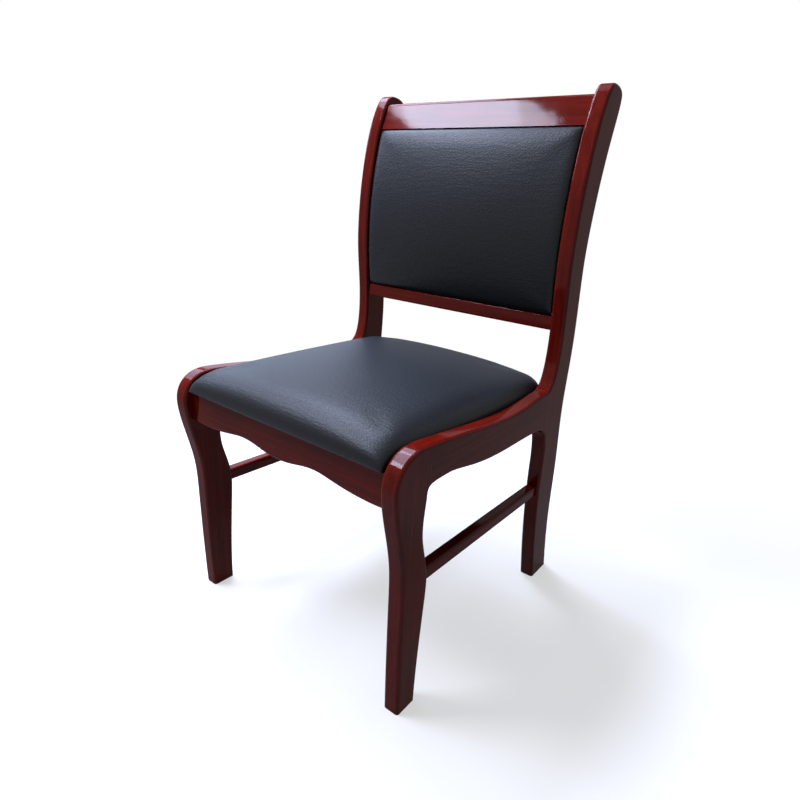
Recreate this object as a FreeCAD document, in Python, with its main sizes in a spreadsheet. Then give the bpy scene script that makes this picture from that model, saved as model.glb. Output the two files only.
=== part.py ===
import FreeCAD, Part
import os
import re
import Sketcher

# Conference chair with a solid wood frame, a let-in seat cushion and a let-in back cushion.
# Millimetres. +Z is up, the front of the chair faces -Y, and the origin lies on the floor
# under the middle of the chair.

# Driving dimensions. Distances called "front" run back from the front of the knees,
# distances called "back" run forward from the back of the rear feet, and heights that end
# in "rise" are measured up from the place where the side rail meets the rear post. An "ease" is
# how far a curve follows its level or upright tangent on each side of a join.
SIZES = {
    # Overall
    "overall_width": 494,
    "overall_depth": 580,
    "frame_thickness": 28,
    "edge_round": 5,
    "small_round": 4,
    # Front legs
    "foot_front": 42,
    "foot_length": 44,
    "shin_height": 199,
    "shin_front": 30,
    "calf_height": 269,
    "calf_front": 38,
    "heel_height": 90,
    "heel_front": 84,
    "bulge_height": 216,
    "bulge_front": 92.5,
    "bulge_ease": 33,
    "waist_height": 305,
    "waist_front": 64,
    "neck_height": 370,
    "neck_front": 76,
    # Knees
    "knee_height": 449,
    "knee_top_front": 54,
    "knee_top_ease": 29,
    "knee_front_drop": 50,
    "knee_front_ease": 32,
    "leg_joint_top_front": 60,
    "leg_joint_foot_front": 88,
    "leg_joint_overrun": 5,
    # Side rails
    "rail_end_height": 72,
    "rail_rear_top": 437,
    "rail_top_front": 229,
    "rail_top_front_drop": 17,
    "rail_top_rear_reach": 99,
    "rail_top_rear_drop": 11,
    "rail_top_end_ease": 12,
    "arch_height": 388,
    "arch_corner_front": 71,
    "arch_crown_front": 123,
    "arch_crown_ease": 21,
    "arch_fall_front": 199,
    "arch_fall_drop": 15,
    "arch_low_reach": 130,
    "arch_low_rise": 3.5,
    "arch_low_ease": 37,
    "arch_end_reach": 13,
    "arch_end_rise": 4,
    # Rear posts, front edge
    "post_foot_back": 67,
    "post_front_ankle_height": 160,
    "post_front_ankle_back": 109,
    "post_front_thigh_height": 280,
    "post_front_thigh_back": 111.5,
    "post_front_thigh_ease": 18,
    "post_front_cove_drop": 9,
    "post_front_cove_back": 118,
    "post_joint_back": 138,
    "post_front_seat_rise": 6,
    "post_front_seat_back": 111,
    "post_front_low_rise": 123,
    "post_front_low_back": 108,
    "post_front_middle_rise": 249,
    "post_front_middle_back": 125,
    "post_front_middle_ease": 44,
    "post_front_high_rise": 353,
    "post_front_high_back": 121,
    "post_front_neck_rise": 453,
    "post_front_neck_back": 103,
    "post_front_top_rise": 516,
    "post_front_top_back": 73,
    # Rear posts, top and rear edge
    "post_crown_rise": 518,
    "post_crown_back": 52,
    "post_crown_ease": 8,
    "post_rear_top_rise": 516,
    "post_rear_top_back": 18,
    "post_rear_neck_rise": 489,
    "post_rear_neck_back": 15,
    "post_rear_high_rise": 395,
    "post_rear_high_back": 49,
    "post_rear_middle_rise": 241,
    "post_rear_middle_back": 63.5,
    "post_rear_middle_ease": 39,
    "post_rear_seat_rise": 79,
    "post_rear_seat_back": 43,
    "post_rear_thigh_drop": 47,
    "post_rear_thigh_back": 59,
    "post_rear_calf_height": 254,
    "post_rear_calf_back": 29,
    "post_rear_ankle_height": 122,
    "post_rear_ankle_back": 33,
    # Aprons
    "apron_top": 415,
    "apron_thickness": 22,
    "apron_recess": 15,
    "apron_end_height": 53,
    "apron_shoulder_reach": 68,
    "apron_shoulder_height": 57,
    "apron_arch_centre": 85,
    "apron_arch_height": 36,
    "apron_drop_centre": 30,
    "apron_drop_height": 54,
    "rear_apron_back": 118,
    "rear_apron_height": 45,
    # Stretchers
    "stretcher_height": 23,
    "stretcher_thickness": 21,
    "stretcher_inset": 1,
    "stretcher_front_top": 240.5,
    "stretcher_fall": 8,
    "stretcher_bury": 17,
    "stretcher_seat": 2,
    "stretcher_round": 5,
    # Back rails
    "low_rail_rise": 108,
    "low_rail_height": 27,
    "low_rail_depth": 22,
    "low_rail_back": 108,
    "crest_rise": 451,
    "crest_height": 50,
    "crest_depth": 24,
    "crest_rake": 20,
    "crest_back": 93,
    "crest_round": 8,
    # Dowels
    "dowel_diameter": 10,
    "dowel_length": 36,
    "small_dowel_diameter": 8,
    "small_dowel_length": 32,
    "hole_clearance": 0.2,
    "dowel_end_clearance": 1,
    "seat_dowel_pitch": 22,
    "apron_dowel_pitch": 16,
    "low_rail_dowel_pitch": 13,
    "crest_dowel_pitch": 24,
    # Corner blocks and screws
    "block_side": 60,
    "block_height": 38,
    "screw_shank": 4,
    "screw_length": 32,
    "screw_head": 8,
    "screw_head_height": 3,
    "block_screw_offset": 43,
    "leg_screw_offset": 12,
    "block_screw_seat": 14,
    "block_screw_pitch": 14,
    "seat_screw_offset": 24,
    "seat_screw_bury": 8,
    # Seat
    "seat_gap": 1.5,
    "soft_gap": 0.3,
    "cover_wrap": 8,
    "seat_board_thickness": 12,
    "seat_front": 11,
    "seat_rear_back": 93,
    "seat_foam_thickness": 13,
    "seat_foam_inset": 24,
    "dust_cover_thickness": 0.8,
    "dust_cover_gap": 1,
    "seat_tuck": 4,
    "seat_edge_height": 28,
    "seat_edge_rise": 26,
    "seat_rear_height": 35,
    "seat_rear_rise": 18,
    "seat_side_height": 23,
    "seat_hollow_back": 160,
    "seat_crown_rise": 36,
    "seat_roll": 22,
    "seat_lip_height": 11,
    "seat_lip_rise": 14,
    "seat_lip_inset": 8,
    # Back cushion
    "pad_gap": 3,
    "pad_forward_bottom": 7,
    "pad_back_top": 3,
    "pad_thickness": 14,
    "pad_edge_thickness": 6,
    "pad_shoulder_thickness": 11,
    "pad_shoulder_inset": 12,
    "pad_crown": 9,
    "pad_corner": 5,
    "back_board_thickness": 6,
    "back_foam_thickness": 8,
    "back_foam_inset": 26,
    "cleat_width": 14,
    "cleat_depth": 8,
    "rear_panel_thickness": 4,
    "panel_gap": 0.4,
    "back_screw_length": 10,
}

# Places that several pieces share
FRONT = "-overall_depth / 2"
BACK = "overall_depth / 2"
OUTER = "overall_width / 2"
INNER = "(overall_width / 2 - frame_thickness)"
FRAME_MIDDLE = "(overall_width / 2 - frame_thickness / 2)"
LEG_JOINT_TOP = f"({FRONT} + leg_joint_top_front)"
LEG_JOINT_FOOT = f"({FRONT} + leg_joint_foot_front)"
LEG_JOINT = f"(({LEG_JOINT_TOP} + {LEG_JOINT_FOOT}) / 2)"
POST_JOINT = f"({BACK} - post_joint_back)"
POST_JOINT_BOTTOM = "(rail_rear_top - rail_end_height)"
APRON_FRONT = f"({FRONT} + apron_recess)"
APRON_REAR = f"({FRONT} + apron_recess + apron_thickness)"
REAR_APRON_FRONT = f"({BACK} - rear_apron_back)"
BLOCK_BOTTOM = "(apron_top - block_height)"
LOW_RAIL_BOTTOM = "(rail_rear_top + low_rail_rise)"
LOW_RAIL_FRONT = f"({BACK} - low_rail_back)"
CREST_BOTTOM = "(rail_rear_top + crest_rise)"
CREST_FRONT = f"({BACK} - crest_back)"
PAD_BOTTOM = f"({LOW_RAIL_BOTTOM} + low_rail_height + pad_gap)"
PAD_TOP = f"({CREST_BOTTOM} - pad_gap)"
PAD_HEIGHT = f"({PAD_TOP} - {PAD_BOTTOM})"
PAD_MIDDLE = f"(({PAD_BOTTOM} + {PAD_TOP}) / 2)"
PAD_HALF = f"({INNER} - pad_gap)"
PAD_LINE_BOTTOM = f"({BACK} - post_front_low_back - pad_forward_bottom)"
PAD_LINE_MIDDLE = f"({BACK} - post_front_middle_back)"
PAD_LINE_TOP = f"({BACK} - post_front_neck_back + pad_back_top)"
SEAT_HALF = f"({INNER} - seat_gap)"
SEAT_BASE = "(apron_top + soft_gap)"
SEAT_FRONT = f"({FRONT} + seat_front)"
SEAT_REAR = f"({BACK} - seat_rear_back)"
SIDES = {"left": -1, "right": 1}
ROLL_STEPS = 3

doc = FreeCAD.newDocument("conference_chair")
sheet = doc.addObject("Spreadsheet::Sheet", "Sizes")
for row, (alias, number) in enumerate(SIZES.items(), start=1):
    sheet.set(f"A{row}", alias)
    sheet.set(f"B{row}", str(number))
    sheet.setAlias(f"B{row}", alias)
doc.recompute()

pieces = {}
holes = {}


def tie(text):
    """Expression in which every size name points at its cell of the sheet."""
    return re.sub(r"[a-z_]+", lambda word: ("Sizes." if word[0] in SIZES else "") + word[0], text)


def value(text):
    """Present value of an expression."""
    return float(sheet.evalExpression(tie(text)))


def signed(side, text):
    """Expression mirrored to the left or the right of the chair."""
    return text if side > 0 else f"-({text})"


def bind(thing, **ties):
    """Ties properties to the sheet; a double underscore stands for a dot in a property's path."""
    for path, text in ties.items():
        thing.setExpression(path.replace("__", "."), tie(text))


def put(thing, x="0", y="0", z="0"):
    """Ties the place of a piece to the sheet."""
    bind(thing, Placement__Base__x=x, Placement__Base__y=y, Placement__Base__z=z)


def keep(thing, node):
    """Makes an object one of the pieces that are written out."""
    thing.Label = node
    pieces[node] = thing
    return thing


def outline(body, name, role, segments, offset="0"):
    """Closed outline of lines, arcs and curves, with every point tied to the sheet.

    A segment is its kind, its start point and its inner points: none for a line, the point
    passed through for an arc, and the poles for a curve. It ends where the next one starts.
    """
    sketch = body.newObject("Sketcher::SketchObject", name)
    plane = next(item for item in body.Origin.OriginFeatures if item.Role == role)
    sketch.AttachmentSupport = [(plane, "")]
    sketch.MapMode = "FlatFace"
    bind(sketch, AttachmentOffset__Base__z=offset)
    rules = []
    ties = []
    ends = []
    for index, (kind, *points) in enumerate(segments):
        stop = segments[(index + 1) % len(segments)][1]
        track = [FreeCAD.Vector(value(across), value(up), 0) for across, up in points + [stop]]
        if kind == "line":
            geometry = Part.LineSegment(*track)
        elif kind == "arc":
            geometry = Part.Arc(*track)
        else:
            geometry = Part.BSplineCurve()
            geometry.buildFromPoles(track, False, 3)
        drawn = sketch.addGeometry(geometry, False)
        first = 1 if sketch.getPoint(drawn, 1).distanceToPoint(track[0]) < 1e-6 else 2
        ends.append((drawn, first, 3 - first))
        ties.append((drawn, first, points[0]))
        if kind == "arc":
            middle = sketch.addGeometry(Part.Point(track[1]), True)
            rules.append(Sketcher.Constraint("PointOnObject", middle, 1, drawn))
            ties.append((middle, 1, points[1]))
        if kind == "curve":
            for pole, spot in enumerate(track):
                ring = sketch.addGeometry(Part.Circle(spot, FreeCAD.Vector(0, 0, 1), 1), True)
                rules.append(Sketcher.Constraint("Weight", ring, 1))
                hold = "InternalAlignment:Sketcher::BSplineControlPoint"
                rules.append(Sketcher.Constraint(hold, ring, 3, drawn, pole))
                if 0 < pole < len(points):
                    ties.append((ring, 3, points[pole]))
    for index, (drawn, _, last) in enumerate(ends):
        following, first, _ = ends[(index + 1) % len(ends)]
        rules.append(Sketcher.Constraint("Coincident", drawn, last, following, first))
    sketch.addConstraint(rules)
    for drawn, spot, (across, up) in ties:
        for kind, text in (("DistanceX", across), ("DistanceY", up)):
            number = sketch.addConstraint(Sketcher.Constraint(kind, -1, 1, drawn, spot, value(text)))
            sketch.setExpression(f"Constraints[{number}]", tie(text))
    return sketch


def padded(name, role, segments, length, towards=1, both_ways=False):
    """Body made from one outline, thickened to one side of its plane or to both."""
    body = doc.addObject("PartDesign::Body", name)
    pad = body.newObject("PartDesign::Pad", f"{name}_pad")
    pad.Profile = outline(body, f"{name}_outline", role, segments)
    pad.Reversed = towards < 0
    if both_ways:
        pad.SideType = "Symmetric"
    bind(pad, Length=length)
    return body


def rounded(body, radius, chosen):
    """Rounds the chosen edges of a body's last feature."""
    doc.recompute()
    base = body.Tip
    edges = [f"Edge{number}" for number, edge in enumerate(base.Shape.Edges, start=1) if chosen(edge)]
    fillet = body.newObject("PartDesign::Fillet", f"{body.Name}_round_{radius}")
    fillet.Base = (base, edges)
    bind(fillet, Radius=radius)
    return body


def is_straight(edge):
    """True for a straight edge."""
    return edge.Curve.TypeId == "Part::GeomLine"


def runs_across(edge):
    """True for an edge that runs across the chair."""
    return is_straight(edge) and edge.BoundBox.XLength > max(edge.BoundBox.YLength, edge.BoundBox.ZLength)


def box(name, low, high):
    """Block between two corners, each a triple of expressions."""
    block = doc.addObject("Part::Box", name)
    put(block, *low)
    for prop, start, stop in zip(("Length", "Width", "Height"), low, high):
        block.setExpression(prop, tie(f"({stop}) - ({start})"))
    return block


def rod(name, axis, start, diameter, length):
    """Round bar from a start point along x, y or z; a minus sign turns it round."""
    turns = {
        "x": (FreeCAD.Vector(0, 1, 0), 90),
        "-x": (FreeCAD.Vector(0, 1, 0), -90),
        "y": (FreeCAD.Vector(1, 0, 0), -90),
        "-y": (FreeCAD.Vector(1, 0, 0), 90),
        "z": (FreeCAD.Vector(1, 0, 0), 0),
        "-z": (FreeCAD.Vector(1, 0, 0), 180),
    }
    bar = doc.addObject("Part::Cylinder", name)
    bar.Placement = FreeCAD.Placement(FreeCAD.Vector(), FreeCAD.Rotation(*turns[axis]))
    put(bar, *start)
    bind(bar, Radius=f"({diameter}) / 2", Height=length)
    return bar


def group(name, members):
    """Separate solids that share one node or one cut."""
    compound = doc.addObject("Part::Compound", name)
    compound.Links = members
    return compound


def combined(name, kind, base, tool):
    """Two shapes made one (Fuse), or the part of the first inside (Common) or outside (Cut) the second."""
    result = doc.addObject(f"Part::{kind}", name)
    result.Base = base
    result.Tool = tool
    return result


def cut(node, base, tools):
    """Piece left after the tools are taken out of its blank."""
    tool = group(f"{node}_tools", tools) if len(tools) > 1 else tools[0]
    return keep(combined(node, "Cut", base, tool), node)


def bored(node, blank, *joints):
    """Piece left after the holes of its joints are bored in its blank."""
    return cut(node, blank, [hole for joint in joints for hole in holes[joint]])


class Fasteners:
    """One kind of fastener, and the holes that it needs, listed by the joint they belong to."""

    def __init__(self, node):
        self.node = node
        self.solids = []

    def dowel(self, joint, axis, centre, diameter, length):
        """Adds a dowel centred on a joint, and its hole."""
        name = f"{self.node}_{len(self.solids) + 1}"
        along = "xyz".index(axis)
        start = list(centre)
        start[along] = f"({centre[along]}) - {length} / 2"
        self.solids.append(rod(name, axis, start, diameter, length))
        start[along] = f"({centre[along]}) - {length} / 2 - dowel_end_clearance"
        wide = f"{diameter} + hole_clearance"
        deep = f"{length} + 2 * dowel_end_clearance"
        holes.setdefault(joint, []).append(rod(f"{name}_hole", axis, start, wide, deep))

    def screw(self, joint, axis, seat, length, access):
        """Adds a screw whose head bears on a seat point, and its hole with room for the head."""
        name = f"{self.node}_{len(self.solids) + 1}"
        back = axis[1:] if axis.startswith("-") else f"-{axis}"
        head = rod(f"{name}_head", back, seat, "screw_head", "screw_head_height")
        shank = rod(f"{name}_shank", axis, seat, "screw_shank", length)
        self.solids.append(combined(name, "Fuse", head, shank))
        room = rod(f"{name}_room", back, seat, "screw_head + hole_clearance", access)
        bore = rod(f"{name}_bore", axis, seat, "screw_shank + hole_clearance", length)
        holes.setdefault(joint, []).append(combined(f"{name}_hole", "Fuse", room, bore))

    def finish(self):
        """Makes the group of fasteners one node."""
        keep(group(self.node, self.solids), self.node)


# Dowels between the rails and the posts and legs
STRETCHER_X = f"({INNER} + stretcher_inset + stretcher_thickness / 2)"
STRETCHER_REAR_TOP = "(stretcher_front_top - stretcher_fall)"

seat_dowels = Fasteners("seat_frame_dowels")
back_dowels = Fasteners("back_rail_dowels")
stretcher_dowels = Fasteners("stretcher_dowels")
for word, side in SIDES.items():
    frame_x = signed(side, FRAME_MIDDLE)
    inner_x = signed(side, INNER)
    stretcher_x = signed(side, STRETCHER_X)
    for step in ("- 0.5", "+ 0.5"):
        crest_lean = f"crest_rake * (0.5 {step} * crest_dowel_pitch / crest_height)"
        seat_places = {
            "leg_rail": (
                "y",
                frame_x,
                LEG_JOINT,
                f"(knee_height + arch_height) / 2 {step} * seat_dowel_pitch",
            ),
            "post_rail": (
                "y",
                frame_x,
                POST_JOINT,
                f"rail_rear_top - rail_end_height / 2 {step} * seat_dowel_pitch",
            ),
            "apron": (
                "x",
                inner_x,
                f"{APRON_FRONT} + apron_thickness / 2",
                f"apron_top - apron_end_height / 2 {step} * apron_dowel_pitch",
            ),
            "rear_apron": (
                "x",
                inner_x,
                f"{REAR_APRON_FRONT} + apron_thickness / 2",
                f"apron_top - rear_apron_height / 2 {step} * apron_dowel_pitch",
            ),
        }
        back_places = {
            "low_rail": (
                "x",
                inner_x,
                f"{LOW_RAIL_FRONT} + low_rail_depth / 2",
                f"{LOW_RAIL_BOTTOM} + low_rail_height / 2 {step} * low_rail_dowel_pitch",
            ),
            "crest": (
                "x",
                inner_x,
                f"{CREST_FRONT} + crest_depth / 2 + {crest_lean}",
                f"{CREST_BOTTOM} + crest_height / 2 {step} * crest_dowel_pitch",
            ),
        }
        for joint, (axis, *centre) in seat_places.items():
            seat_dowels.dowel(f"{joint}_{word}", axis, centre, "dowel_diameter", "dowel_length")
        for joint, (axis, *centre) in back_places.items():
            back_dowels.dowel(f"{joint}_{word}", axis, centre, "small_dowel_diameter", "small_dowel_length")
    stretcher_places = {
        "leg_stretcher": (
            f"{FRONT} + bulge_front - stretcher_seat",
            "stretcher_front_top - stretcher_height / 2",
        ),
        "post_stretcher": (
            f"{BACK} - post_front_thigh_back + stretcher_seat",
            f"{STRETCHER_REAR_TOP} - stretcher_height / 2",
        ),
    }
    for joint, (depth, height) in stretcher_places.items():
        centre = (stretcher_x, depth, height)
        stretcher_dowels.dowel(f"{joint}_{word}", "y", centre, "small_dowel_diameter", "small_dowel_length")

# Screws of the corner blocks, the seat board and the back board
SCREW_ROW_LOW = f"({BLOCK_BOTTOM} + block_height / 2 - block_screw_pitch / 2)"
SCREW_ROW_HIGH = f"({BLOCK_BOTTOM} + block_height / 2 + block_screw_pitch / 2)"
SEAT_SCREW_LENGTH = "block_height + seat_screw_bury"
BOARD_REAR = "pad_thickness + back_board_thickness"
CLEAT_REAR = f"{BOARD_REAR} + cleat_depth"
BACK_SCREW_SEAT = f"{PAD_LINE_MIDDLE} + {CLEAT_REAR} - screw_head_height"

block_screws = Fasteners("corner_block_screws")
seat_screws = Fasteners("seat_screws")
back_screws = Fasteners("back_screws")
for word, side in SIDES.items():
    outward = "x" if side > 0 else "-x"
    seat_x = signed(side, f"{INNER} - block_screw_seat")
    aside_x = signed(side, f"{INNER} - block_screw_offset")
    lift_x = signed(side, f"{INNER} - seat_screw_offset")
    cleat_x = signed(side, f"{INNER} - cleat_width / 2")
    block_places = {
        "leg_block": (outward, seat_x, f"{APRON_REAR} + leg_screw_offset", SCREW_ROW_LOW),
        "rail_block": (outward, seat_x, f"{REAR_APRON_FRONT} - block_screw_offset", SCREW_ROW_LOW),
        "apron_block": ("-y", aside_x, f"{APRON_REAR} + block_screw_seat", SCREW_ROW_HIGH),
        "rear_apron_block": ("y", aside_x, f"{REAR_APRON_FRONT} - block_screw_seat", SCREW_ROW_HIGH),
    }
    seat_places = {
        "seat_front": f"{APRON_REAR} + seat_screw_offset",
        "seat_rear": f"{REAR_APRON_FRONT} - seat_screw_offset",
    }
    for joint, (axis, *seat) in block_places.items():
        block_screws.screw(f"{joint}_{word}", axis, seat, "screw_length", "block_side")
    for joint, depth in seat_places.items():
        seat = (lift_x, depth, BLOCK_BOTTOM)
        seat_screws.screw(f"{joint}_{word}", "z", seat, SEAT_SCREW_LENGTH, "screw_head_height")
    seat = (cleat_x, BACK_SCREW_SEAT, PAD_MIDDLE)
    back_screws.screw(f"cleat_{word}", "-y", seat, "back_screw_length", "cleat_depth")

for kind in (seat_dowels, back_dowels, stretcher_dowels, block_screws, seat_screws, back_screws):
    kind.finish()


def post_at(back, height):
    """Point of the rear post's outline."""
    return (f"{BACK} - {back}", height)


def leg_at(front, height):
    """Point of the front leg's outline."""
    return (f"{FRONT} + {front}", height)


# Side frame: front leg, side rail and rear post shaped together and then parted at their joints.
# Its curves meet at level or upright tangents.
KNEE_FRONT = "(knee_height - knee_front_drop)"
BULGE = f"({FRONT} + bulge_front)"
ARCH_CROWN = f"({FRONT} + arch_crown_front)"
ARCH_LOW = f"({POST_JOINT} - arch_low_reach)"
ARCH_LOW_HEIGHT = f"({POST_JOINT_BOTTOM} + arch_low_rise)"
POST_THIGH = f"({BACK} - post_front_thigh_back)"
POST_REAR_MIDDLE = f"({BACK} - post_rear_middle_back)"
POST_FRONT_MIDDLE = f"({BACK} - post_front_middle_back)"
POST_CROWN = f"({BACK} - post_crown_back)"
POST_TOP = "(rail_rear_top + post_crown_rise)"
RAIL_TOP_END = f"({POST_JOINT} - rail_top_end_ease)"
KNEE_TOP = f"({FRONT} + knee_top_front)"
SIDE_OUTLINE = [
    ("line", leg_at("foot_front", "0")),
    (
        "curve",
        leg_at("foot_front + foot_length", "0"),
        leg_at("heel_front", "heel_height"),
        (BULGE, "bulge_height - bulge_ease"),
    ),
    (
        "curve",
        (BULGE, "bulge_height"),
        (BULGE, "bulge_height + bulge_ease"),
        leg_at("waist_front", "waist_height"),
        leg_at("neck_front", "neck_height"),
        leg_at("arch_corner_front", "arch_height"),
        (f"{ARCH_CROWN} - arch_crown_ease", "arch_height"),
    ),
    (
        "curve",
        (ARCH_CROWN, "arch_height"),
        (f"{ARCH_CROWN} + arch_crown_ease", "arch_height"),
        leg_at("arch_fall_front", "arch_height - arch_fall_drop"),
        (f"{ARCH_LOW} - arch_low_ease", ARCH_LOW_HEIGHT),
    ),
    (
        "curve",
        (ARCH_LOW, ARCH_LOW_HEIGHT),
        (f"{ARCH_LOW} + arch_low_ease", ARCH_LOW_HEIGHT),
        (f"{POST_JOINT} - arch_end_reach", f"{POST_JOINT_BOTTOM} + arch_end_rise"),
        post_at("post_front_cove_back", f"{POST_JOINT_BOTTOM} - post_front_cove_drop"),
        (POST_THIGH, "post_front_thigh_height + post_front_thigh_ease"),
    ),
    (
        "curve",
        (POST_THIGH, "post_front_thigh_height"),
        (POST_THIGH, "post_front_thigh_height - post_front_thigh_ease"),
        post_at("post_front_ankle_back", "post_front_ankle_height"),
    ),
    ("line", post_at("post_foot_back", "0")),
    (
        "curve",
        (BACK, "0"),
        post_at("post_rear_ankle_back", "post_rear_ankle_height"),
        post_at("post_rear_calf_back", "post_rear_calf_height"),
        post_at("post_rear_thigh_back", "rail_rear_top - post_rear_thigh_drop"),
        post_at("post_rear_seat_back", "rail_rear_top + post_rear_seat_rise"),
        (POST_REAR_MIDDLE, "rail_rear_top + post_rear_middle_rise - post_rear_middle_ease"),
    ),
    (
        "curve",
        (POST_REAR_MIDDLE, "rail_rear_top + post_rear_middle_rise"),
        (POST_REAR_MIDDLE, "rail_rear_top + post_rear_middle_rise + post_rear_middle_ease"),
        post_at("post_rear_high_back", "rail_rear_top + post_rear_high_rise"),
        post_at("post_rear_neck_back", "rail_rear_top + post_rear_neck_rise"),
        post_at("post_rear_top_back", "rail_rear_top + post_rear_top_rise"),
        (f"{POST_CROWN} + post_crown_ease", POST_TOP),
    ),
    (
        "curve",
        (POST_CROWN, POST_TOP),
        (f"{POST_CROWN} - post_crown_ease", POST_TOP),
        post_at("post_front_top_back", "rail_rear_top + post_front_top_rise"),
        post_at("post_front_neck_back", "rail_rear_top + post_front_neck_rise"),
        post_at("post_front_high_back", "rail_rear_top + post_front_high_rise"),
        (POST_FRONT_MIDDLE, "rail_rear_top + post_front_middle_rise + post_front_middle_ease"),
    ),
    (
        "curve",
        (POST_FRONT_MIDDLE, "rail_rear_top + post_front_middle_rise"),
        (POST_FRONT_MIDDLE, "rail_rear_top + post_front_middle_rise - post_front_middle_ease"),
        post_at("post_front_low_back", "rail_rear_top + post_front_low_rise"),
        post_at("post_front_seat_back", "rail_rear_top + post_front_seat_rise"),
        (POST_JOINT, "rail_rear_top"),
    ),
    (
        "curve",
        (RAIL_TOP_END, "rail_rear_top"),
        (f"{RAIL_TOP_END} - rail_top_end_ease", "rail_rear_top"),
        (f"{POST_JOINT} - rail_top_rear_reach", "rail_rear_top - rail_top_rear_drop"),
        leg_at("rail_top_front", "knee_height - rail_top_front_drop"),
        (f"{KNEE_TOP} + knee_top_ease", "knee_height"),
    ),
    (
        "curve",
        (KNEE_TOP, "knee_height"),
        (f"{KNEE_TOP} - knee_top_ease", "knee_height"),
        (FRONT, f"{KNEE_FRONT} + knee_front_ease"),
    ),
    (
        "curve",
        (FRONT, KNEE_FRONT),
        (FRONT, f"{KNEE_FRONT} - knee_front_ease"),
        leg_at("calf_front", "calf_height"),
        leg_at("shin_front", "shin_height"),
    ),
]

# Rooms that part the side frames into front legs, side rails and rear posts. They reach past the
# chair, meet at the joints, and have the holes of the joints in them.
JOINT_SLOPE = f"(({LEG_JOINT_FOOT} - {LEG_JOINT_TOP}) / (knee_height - arch_height))"
JOINT_LOW = (f"{LEG_JOINT_FOOT} + {JOINT_SLOPE} * leg_joint_overrun", "arch_height - leg_joint_overrun")
JOINT_HIGH = (f"{LEG_JOINT_TOP} - {JOINT_SLOPE} * rail_end_height", "knee_height + rail_end_height")
ROOM_FOOT = "-frame_thickness"
ROOM_FRONT = f"({FRONT} - frame_thickness)"
ROOM_REAR = f"({BACK} + frame_thickness)"
ROOM_TOP = "rail_rear_top + post_crown_rise + frame_thickness"
ROOM_WIDTH = "overall_width + 2 * frame_thickness"
RAIL_CORNER = (f"{LEG_JOINT_FOOT} + rail_end_height", f"{POST_JOINT_BOTTOM} - rail_end_height")
ROOMS = {
    "front_leg": (
        [
            ("line", (ROOM_FRONT, ROOM_FOOT)),
            ("line", (RAIL_CORNER[0], ROOM_FOOT)),
            ("line", RAIL_CORNER),
            ("line", JOINT_LOW),
            ("line", JOINT_HIGH),
            ("line", (ROOM_FRONT, JOINT_HIGH[1])),
        ],
        ("leg_rail", "apron", "leg_stretcher", "leg_block"),
    ),
    "side_rail": (
        [
            ("line", JOINT_LOW),
            ("line", RAIL_CORNER),
            ("line", (POST_JOINT, RAIL_CORNER[1])),
            ("line", (POST_JOINT, JOINT_HIGH[1])),
            ("line", JOINT_HIGH),
        ],
        ("leg_rail", "post_rail", "rail_block"),
    ),
    "rear_post": (
        [
            ("line", (POST_JOINT, ROOM_FOOT)),
            ("line", (ROOM_REAR, ROOM_FOOT)),
            ("line", (ROOM_REAR, ROOM_TOP)),
            ("line", (POST_JOINT, ROOM_TOP)),
        ],
        ("post_rail", "rear_apron", "low_rail", "crest", "post_stretcher"),
    ),
}
rooms = {}
for name, (room_outline, joints) in ROOMS.items():
    room = padded(f"{name}_room", "YZ_Plane", room_outline, ROOM_WIDTH, both_ways=True)
    bores = [hole for joint in joints for word in SIDES for hole in holes[f"{joint}_{word}"]]
    rooms[name] = combined(f"{name}_bored_room", "Cut", room, group(f"{name}_bores", bores))

STRETCHER_START = f"{FRONT} + bulge_front - stretcher_bury"
STRETCHER_STOP = f"{BACK} - post_front_thigh_back + stretcher_bury"
STRETCHER_OUTLINE = [
    ("line", (STRETCHER_START, "stretcher_front_top - stretcher_height")),
    ("line", (STRETCHER_STOP, f"{STRETCHER_REAR_TOP} - stretcher_height")),
    ("line", (STRETCHER_STOP, STRETCHER_REAR_TOP)),
    ("line", (STRETCHER_START, "stretcher_front_top")),
]

for word, side in SIDES.items():
    frame = padded(f"side_frame_{word}", "YZ_Plane", SIDE_OUTLINE, "frame_thickness", -side)
    put(frame, x=signed(side, OUTER))
    rounded(frame, "edge_round", lambda edge: not is_straight(edge))
    for name, room in rooms.items():
        keep(combined(f"{name}_{word}", "Common", frame, room), f"{name}_{word}")
    bar = padded(f"stretcher_{word}_blank", "YZ_Plane", STRETCHER_OUTLINE, "stretcher_thickness", side)
    put(bar, x=signed(side, f"{INNER} + stretcher_inset"))
    rounded(bar, "stretcher_round", lambda edge: edge.BoundBox.YLength > value("stretcher_height"))
    scribed = combined(f"stretcher_{word}_scribed", "Cut", bar, frame)
    bored(f"stretcher_{word}", scribed, f"leg_stretcher_{word}", f"post_stretcher_{word}")

# Front apron with a serpentine lower edge
APRON_OUTLINE = [
    ("line", (f"-{INNER}", "apron_top")),
    ("line", (INNER, "apron_top")),
    (
        "curve",
        (INNER, "apron_top - apron_end_height"),
        (f"{INNER} - apron_shoulder_reach", "apron_top - apron_shoulder_height"),
        ("apron_arch_centre", "apron_top - apron_arch_height"),
        ("apron_drop_centre", "apron_top - apron_drop_height"),
        ("-apron_drop_centre", "apron_top - apron_drop_height"),
        ("-apron_arch_centre", "apron_top - apron_arch_height"),
        (f"apron_shoulder_reach - {INNER}", "apron_top - apron_shoulder_height"),
    ),
    ("line", (f"-{INNER}", "apron_top - apron_end_height")),
]
apron = padded("front_apron_blank", "XZ_Plane", APRON_OUTLINE, "apron_thickness", -1)
put(apron, y=APRON_FRONT)
apron_middle = value("apron_thickness / 2")
rounded(apron, "small_round", lambda edge: not is_straight(edge) and edge.CenterOfMass.y < apron_middle)
apron_joints = [f"{joint}_{word}" for joint in ("apron", "apron_block") for word in SIDES]
bored("front_apron", apron, *apron_joints)

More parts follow.
